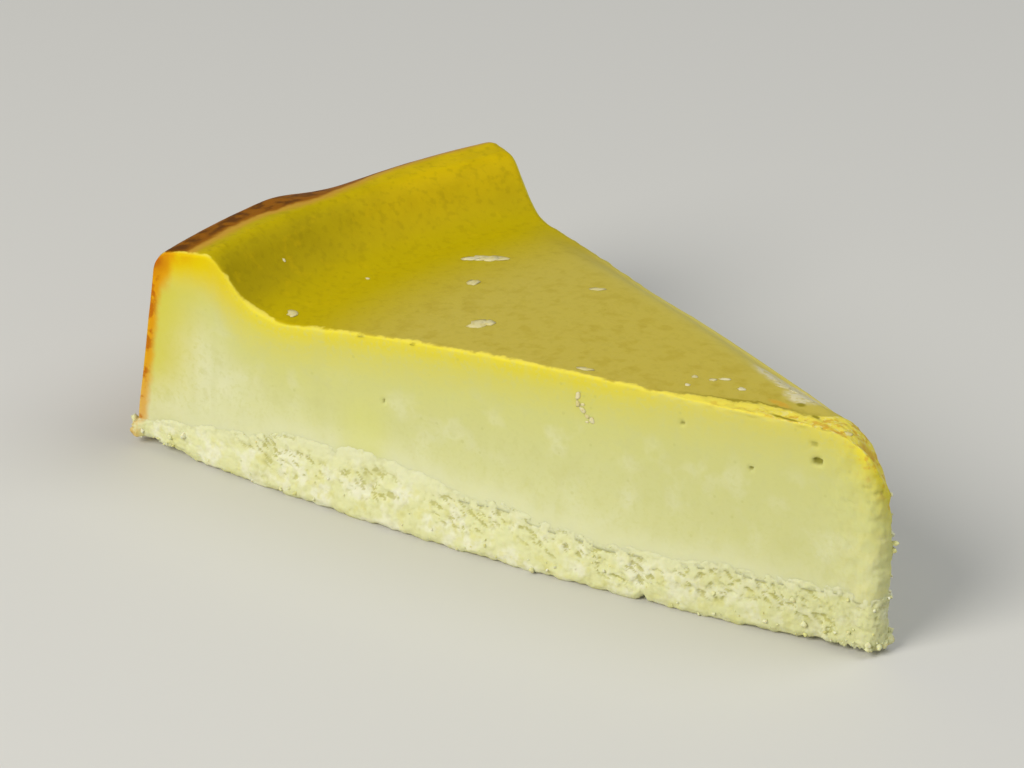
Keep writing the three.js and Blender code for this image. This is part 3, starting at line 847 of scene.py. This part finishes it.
wall_shade = layered(tree, WALL_GOLD, (
    (WALL_BROWN, (noises[5], 0.3, 0.72, 0, 0.8)),
    (WALL_BROWN, (noises[1.2], 0.5, 0.7, 0, 0.4)),
    (LIP_BROWN, (at["depth"], 1, 13, 1, 0)),
    (LIP_DARK, (at["depth"], 1, 10, 1, 0), (noises[2.5], 0.4, 0.62, 0.1, 0.9)),
))
shade = layered(tree, cut_shade, (
    (skin_shade, (at["skin"], 0, 1, 0, 1)),
    (wall_shade, (at["wall"], 0, 1, 0, 1)),
))
bump = add(tree, "ShaderNodeBump", {"Height": noises[0.7], "Strength": 0.3, "Distance": 0.12 * MM})
roughness = add(tree, "ShaderNodeMapRange", (at["skin"], 0, 1, CUT_ROUGHNESS, SKIN_ROUGHNESS))
surface = add(tree, "ShaderNodeBsdfPrincipled", {
    "Base Color": shade, "Roughness": roughness, "IOR": 1.42, "Specular IOR Level": 0.08, "Normal": bump,
    "Subsurface Weight": 0.3, "Subsurface Radius": (1, 0.85, 0.35), "Subsurface Scale": 2 * MM,
})
add(tree, "ShaderNodeOutputMaterial", (surface,))

filling.data.materials.clear()
filling.data.materials.append(filling_material)
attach(filling, "root")
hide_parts("cheesecake_filling")


# Clinging crumbs
# Crumbs that the knife loosened from the base and that still cling to its sides and foot, with a few
# at the worn tip and on the wall's foot. Each is an uneven lump of the same biscuit crumb.

CRUMB_COUNT = 230
CRUMB_SMALLEST = 0.3
CRUMB_LARGEST = 1.05
CRUMB_FINENESS = 4
CRUMB_THINNEST = 0.4
CRUMB_LONGEST = 1.2
CRUMB_SEED = 11
CRUMB_BURIED = 0.38
CRUMB_CLEAR = 0.7

# Where they lie: at levels of the base, which go from 0 at its foot to 1 at its top, mostly low
# down, and more of them near the tip, by the distance from the apex.
CRUMBS_LOWEST = 0.02
CRUMBS_DENSEST = 0.05
CRUMBS_SPARSE = 0.5
CRUMBS_HIGHEST = 0.9
SPARSE_SHARE = 0.2
TIP_CRUMBLING = 1.2
TIP_CRUMBLING_START = 45
TIP_CRUMBLING_FULL = 20

# Crumbs at the worn tip: bearing from the middle of the nose in degrees, height, and size.
TIP_CRUMBS = [
    (45, 17.8, 1.4), (36, 16.8, 0.8), (52, 18.8, 0.7), (45, 1.7, 1.5), (28, 1, 1.1), (60, 2.7, 1.3),
    (40, 3.6, 0.8), (8, 0.9, 1.1), (-22, 0.7, 1), (-58, 0.8, 0.9), (75, 1.2, 1.2), (48, 26.2, 0.6),
    (62, 9.4, 0.9), (48, 8.9, 0.8), (34, 9.6, 0.7), (18, 9, 0.8), (44, 12.6, 0.6), (56, 22.4, 0.5),
]
# Crumbs on the foot of the outer wall: angle in degrees, height, and size.
WALL_CRUMBS = [
    (-14.2, 8.4, 1.3), (-14, 7, 1.5), (-14.3, 3.4, 1.6), (-13.6, 2.4, 1.5), (-12.4, 5.2, 1.2),
    (-9, 3, 1.4),
]

# Uneven lumps: balls with dents, in a few kinds. The unevenness is a share of the ball's width, and
# the dents are how many lie along it.
LUMP_KINDS = 4
LUMP_KIND_STEP = 10
DENT_LOW = 0.3
DENT_HIGH = 0.7
crumb_lumps = {"Unevenness": 0.3, "Dents": 1.5}


def lump_tree(name, lump_sizes, material):
    """Sets an uneven lump on each point, by the size and turn that the point carries."""
    tree, size = geometry_tree(name, lump_sizes)
    kinds = add(tree, "GeometryNodeJoinGeometry")
    for kind in range(LUMP_KINDS):
        ball = add(tree, "GeometryNodeMeshIcoSphere", {"Radius": 0.5, "Subdivisions": 2})
        inputs = {"W": LUMP_KIND_STEP * kind, "Scale": size["Dents"]}
        dents = add(tree, "ShaderNodeTexNoise", inputs, noise_dimensions="4D")
        dents = add(tree, "ShaderNodeMapRange", (dents, DENT_LOW, DENT_HIGH, -1, 1), clamp=False)
        dents = add(tree, "ShaderNodeMath", (dents, size["Unevenness"]), operation="MULTIPLY")
        inputs = {0: add(tree, "GeometryNodeInputNormal"), "Scale": dents}
        offset = add(tree, "ShaderNodeVectorMath", inputs, operation="SCALE")
        lump = add(tree, "GeometryNodeSetPosition", {"Geometry": ball, "Offset": offset})
        lump = add(tree, "GeometryNodeGeometryToInstance", (lump,))
        tree.links.new(lump.outputs[0], kinds.inputs[0])
    at = {
        field: add(tree, "GeometryNodeInputNamedAttribute", {"Name": field}, data_type="FLOAT_VECTOR")
        for field in ("lump_size", "lump_turn")
    }
    lumps = add(tree, "GeometryNodeInstanceOnPoints", {
        "Points": size["Geometry"], "Instance": kinds, "Pick Instance": True,
        "Rotation": at["lump_turn"], "Scale": at["lump_size"],
    })
    lumps = add(tree, "GeometryNodeRealizeInstances", (lumps,))
    lumps = add(tree, "GeometryNodeSetMaterial", {"Geometry": lumps, "Material": material})
    add(tree, "NodeGroupOutput", (lumps,))
    return tree


def make_lumps(name, lump_sizes, material, places, sizes, turns, tones):
    """A piece of uneven lumps at places, with their three sizes, in millimetres."""
    fields = {"lump_size": sizes * MM, "lump_turn": turns, "tone": tones}
    piece = make_piece(name, places, [], fields)
    run_tree(piece, lump_tree(name, lump_sizes, material), lump_sizes)
    piece.data.shade_smooth()
    return piece


# Clinging biscuit crumb: as the base, each crumb with a tone of its own, from yellow to pale, and with
# toasted grit.
LOOSE_GRIT = 0.4

loose_material, tree = new_material("loose_biscuit_crumb")
place = add(tree, "ShaderNodeTexCoord").outputs["Object"]
tone = add(tree, "ShaderNodeAttribute", attribute_name="tone").outputs["Fac"]
grit = add(tree, "ShaderNodeTexNoise", {"Vector": place, "Scale": 1 / (LOOSE_GRIT * MM), "Detail": 2})
shade = layered(tree, CRUMB_TONE, (
    (CRUMB_YELLOW, (tone, 0, 0.5, 1, 0)),
    (CRUMB_WHITE, (tone, 0.5, 1, 0, 1)),
    (CRUMB_TOASTED, (grit, 0.55, 0.7, 0, 0.4)),
))
bump = add(tree, "ShaderNodeBump", {"Height": grit, "Strength": 0.4, "Distance": 0.12 * MM})
surface = add(tree, "ShaderNodeBsdfPrincipled", {
    "Base Color": shade, "Roughness": 0.85, "IOR": 1.45, "Specular IOR Level": 0.3, "Normal": bump,
    "Subsurface Weight": 0.2, "Subsurface Radius": (1, 0.8, 0.4), "Subsurface Scale": 0.6 * MM,
})
add(tree, "ShaderNodeOutputMaterial", (surface,))


def surface_points(piece):
    """Where a piece's mesh has its points, in millimetres, and the way out of it at each of them."""
    mesh = piece.data
    places = np.zeros(3 * len(mesh.vertices))
    mesh.vertices.foreach_get("co", places)
    normals = np.array([tuple(vertex.normal) for vertex in mesh.vertices])
    return places.reshape(-1, 3) / MM, normals


def nearest_points(places, wanted):
    """The numbers of the points that lie nearest to the wanted places."""
    return np.array([np.argmin(np.linalg.norm(places - each, axis=1)) for each in wanted])


random = np.random.default_rng(CRUMB_SEED)
places, normals = surface_points(crumb_base)
high = np.zeros(len(places))
crumb_base.data.attributes["level"].data.foreach_get("value", high)
from_tip = np.linalg.norm(places[:, :2] - APEX, axis=1)
chance = mix(SPARSE_SHARE, 1, smoothstep(high, CRUMBS_SPARSE, CRUMBS_DENSEST))
chance = chance * (high > CRUMBS_LOWEST) * (high < CRUMBS_HIGHEST)
crumbling = smoothstep(from_tip, TIP_CRUMBLING_START, TIP_CRUMBLING_FULL)
chance = chance * (1 + TIP_CRUMBLING * crumbling)
chosen = random.choice(len(places), CRUMB_COUNT, replace=False, p=chance / chance.sum())
widths = mix(CRUMB_SMALLEST, CRUMB_LARGEST, random.random(CRUMB_COUNT) ** CRUMB_FINENESS)
places, normals = (np.concatenate(parts) for parts in zip((places, normals), surface_points(filling)))
bearing, high, tip_widths = np.array(TIP_CRUMBS).T
nose_round = APEX + NOSE_CENTRE - from_apex(2 * NOSE_RADIUS, -np.radians(bearing))
wanted = [np.column_stack([nose_round, high])]
angle, high, wall_widths = np.array(WALL_CRUMBS).T
wanted.append(np.column_stack([APEX + from_apex(CAKE_RADIUS, np.radians(angle)), high]))
chosen = np.concatenate([chosen, nearest_points(places, np.concatenate(wanted))])
widths = np.concatenate([widths, tip_widths, wall_widths])
places = places[chosen] + normals[chosen] * (widths * (0.5 - CRUMB_BURIED))[:, None]
sizes = widths[:, None] * random.uniform(CRUMB_THINNEST, CRUMB_LONGEST, (len(widths), 3))
places[:, 2] = np.maximum(places[:, 2], CRUMB_CLEAR * sizes.max(axis=1))
turns = random.uniform(0, 2 * math.pi, (len(widths), 3))
tones = random.random(len(widths))
crumbs = make_lumps("clinging_crumbs", crumb_lumps, loose_material, places, sizes, turns, tones)
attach(crumbs, "root")


# Flecks
# Bits of pale filling and crumb that the knife carried onto the skin and left on the -Y cut, where
# they dried. They are flat, so each is a thin lump pressed onto what it lies on.

# How thick a fleck is: a share of its width, and the least and most in millimetres.
FLECK_THICKNESS = 0.12
FLECK_THINNEST = 0.16
FLECK_THICKEST = 0.28
FLECK_SEED = 5
fleck_lumps = {"Unevenness": 0.26, "Dents": 1.9}

# On the skin: distance from the apex, angle in degrees, length, width, and turn in degrees.
SKIN_FLECKS = [
    (101.3, 4.1, 3, 1.8, 45), (100.2, 4.7, 3.2, 2.5, 20), (98.8, 5.3, 3.4, 2.6, 45),
    (97.6, 5.9, 3, 1.8, 20), (92.6, -0.2, 1.9, 2.4, 45), (80.4, -8.8, 3.2, 3.4, 45),
    (79.2, -7.9, 2, 2.2, 60), (109.7, -13.2, 1.7, 2.2, 45), (75.5, 7, 2.4, 1.2, 33),
    (117.9, -8.7, 0.7, 0.5, 0), (108.8, -4.3, 0.9, 0.6, 0), (42, -6, 1, 0.9, 0),
    (39.2, -5, 1.1, 0.9, 45), (38.1, -2.9, 1.7, 0.8, 33), (41.5, -10.2, 0.9, 0.8, 0),
    (34.1, -4.8, 1.3, 1, 10), (57, -14, 2.6, 1, 20), (31, 4.8, 2, 0.9, 35),
    (28.5, 5.6, 1.7, 0.9, 50), (33.5, 6.5, 1.5, 0.8, 30), (25.2, 4.2, 1.6, 0.8, 20),
    (14.2, -8, 1.2, 0.9, 10),
]
# On the -Y cut: distance from the apex, height, length, width, and turn in degrees.
CUT_FLECKS = [
    (57.2, 30.2, 1.4, 0.8, 80), (57, 29.1, 1.1, 0.7, 105), (56.2, 28.8, 0.6, 0.5, 0),
    (56.1, 27.9, 1.2, 0.8, -50), (55.3, 27.2, 0.8, 0.6, -20), (54.6, 26.6, 1.1, 0.8, -60),
    (55.6, 26.2, 0.5, 0.4, 0),
]
COLUMN_SAMPLES = 2000
columns = np.linspace(0, 1, COLUMN_SAMPLES)


def column_at(distance):
    """The share u of the column that lies at a distance from the apex."""
    return np.interp(distance, column_radius(columns)[::-1], columns[::-1])


on_skin = np.array(SKIN_FLECKS)
angle = np.radians(on_skin[:, 1])
high = top_height(column_at(on_skin[:, 0]), (angle / HALF_WEDGE + 1) / 2)
skin_places = np.column_stack([APEX + from_apex(on_skin[:, 0], angle), high])
turn = np.radians(on_skin[:, 4])
skin_lengths = np.column_stack([np.cos(turn), np.sin(turn), 0 * turn])
on_cut = np.array(CUT_FLECKS)
u = column_at(on_cut[:, 0])
cut_places = np.column_stack([APEX + wedge_place(u, 0 * u, on_cut[:, 1]), on_cut[:, 1]])
turn = np.radians(on_cut[:, 4])
along_cut = np.append(from_apex(-1, -HALF_WEDGE), 0)
cut_lengths = np.outer(np.cos(turn), along_cut) + np.outer(np.sin(turn), (0, 0, 1))

# Each fleck lies flat on the filling: its length runs as wanted, and its thickness along the normal.
places, normals = surface_points(filling)
chosen = nearest_points(places, np.concatenate([skin_places, cut_places]))
fleck_places = places[chosen]
fleck_turns = []
for length, normal in zip(np.concatenate([skin_lengths, cut_lengths]), normals[chosen]):
    width = np.cross(normal, length)
    width = width / np.linalg.norm(width)
    flat = Matrix((np.cross(width, normal), width, normal)).transposed()
    fleck_turns.append(flat.to_euler())
fleck_turns = np.array(fleck_turns)
fleck_sizes = np.concatenate([on_skin[:, 2:4], on_cut[:, 2:4]])
thickness = np.clip(FLECK_THICKNESS * fleck_sizes[:, 1], FLECK_THINNEST, FLECK_THICKEST)
fleck_sizes = np.column_stack([fleck_sizes, thickness])
fleck_tones = np.random.default_rng(FLECK_SEED).random(len(fleck_places))

# Dried filling: pale straw with duller grains, and with the satin of the skin round it.
FLECK_STRAW = colour("#D6C98E")
FLECK_PALE = colour("#E0D5A6")
FLECK_DULL = colour("#C8B45A")
FLECK_GRAIN = 0.8

fleck_material, tree = new_material("dried_filling_fleck")
place = add(tree, "ShaderNodeTexCoord").outputs["Object"]
tone = add(tree, "ShaderNodeAttribute", attribute_name="tone").outputs["Fac"]
grain = add(tree, "ShaderNodeTexNoise", {"Vector": place, "Scale": 1 / (FLECK_GRAIN * MM), "Detail": 2})
shade = layered(tree, FLECK_STRAW, (
    (FLECK_PALE, (tone, 0.2, 0.9, 0, 1)),
    (FLECK_DULL, (grain, 0.5, 0.66, 0, 0.45)),
))
bump = add(tree, "ShaderNodeBump", {"Height": grain, "Strength": 0.4, "Distance": 0.1 * MM})
surface = add(tree, "ShaderNodeBsdfPrincipled", {
    "Base Color": shade, "Roughness": 0.5, "IOR": 1.42, "Specular IOR Level": 0.3, "Normal": bump,
    "Subsurface Weight": 0.2, "Subsurface Radius": (1, 0.85, 0.5), "Subsurface Scale": 0.6 * MM,
})
add(tree, "ShaderNodeOutputMaterial", (surface,))
flecks = make_lumps(
    "dried_flecks", fleck_lumps, fleck_material, fleck_places, fleck_sizes, fleck_turns, fleck_tones)
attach(flecks, "root")


# Ground, light and camera
# A plain pale ground, a wide soft window light from the front left with a cooler one above behind,
# and the camera where the photograph was taken from, with a longer lens so that the slice fills
# the picture.

TABLE_SIDE = 6
TABLE_TONE = colour("#D2D0CA")

table_mesh = bpy.data.meshes.new("pale_table")
half = TABLE_SIDE / 2
corners = [(-half, -half, 0), (half, -half, 0), (half, half, 0), (-half, half, 0)]
table_mesh.from_pydata(corners, [], [(0, 1, 2, 3)])
table = bpy.data.objects.new("pale_table", table_mesh)
bpy.context.scene.collection.objects.link(table)
table_material, tree = new_material("pale_matte_table")
surface = add(tree, "ShaderNodeBsdfPrincipled", {"Base Color": TABLE_TONE, "Roughness": 0.7})
add(tree, "ShaderNodeOutputMaterial", (surface,))
table_mesh.materials.append(table_material)
table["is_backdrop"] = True


LIGHT_AIM = Vector((0, 0, 0.02))
ROOM_TONE = colour("#E4E6E8")
ROOM_STRENGTH = 0.37


def soft_light(name, place, width, power, sheet):
    """A round soft light that shines on the middle of the slice."""
    data = bpy.data.lights.new(name, "AREA")
    data.shape = "DISK"
    data.size = width
    data.energy = power
    data.color = colour(sheet)[:3]
    light = bpy.data.objects.new(name, data)
    light.location = place
    light.rotation_euler = (LIGHT_AIM - Vector(place)).to_track_quat("-Z", "Y").to_euler()
    bpy.context.scene.collection.objects.link(light)


soft_light("window_light", place=(-0.02, -0.94, 0.75), width=0.7, power=11.3, sheet="#FFFDF6")
soft_light("sky_light", place=(0.5, 0.5, 1.1), width=0.9, power=5.6, sheet="#F4F8FF")

world = bpy.data.worlds.new("studio")
bpy.context.scene.world = world
world.use_nodes = True
background = world.node_tree.nodes["Background"]
background.inputs["Color"].default_value = ROOM_TONE
background.inputs["Strength"].default_value = ROOM_STRENGTH
bpy.context.scene.view_settings.view_transform = "Standard"

CAMERA_PLACE = (0.44025, -0.45287, 0.33369)
CAMERA_AZIMUTH = math.radians(44.92)
CAMERA_PITCH = math.radians(26.4)
CAMERA_ROLL = math.radians(0.79)
CAMERA_LENS = 162
camera_data = bpy.data.cameras.new("camera")
camera_data.lens = CAMERA_LENS
camera = bpy.data.objects.new("camera", camera_data)
camera.location = CAMERA_PLACE
turn = Matrix.Rotation(CAMERA_AZIMUTH, 4, "Z") @ Matrix.Rotation(math.pi / 2 - CAMERA_PITCH, 4, "X")
camera.rotation_euler = (turn @ Matrix.Rotation(CAMERA_ROLL, 4, "Z")).to_euler()
bpy.context.scene.collection.objects.link(camera)
bpy.context.scene.camera = camera

low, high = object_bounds()
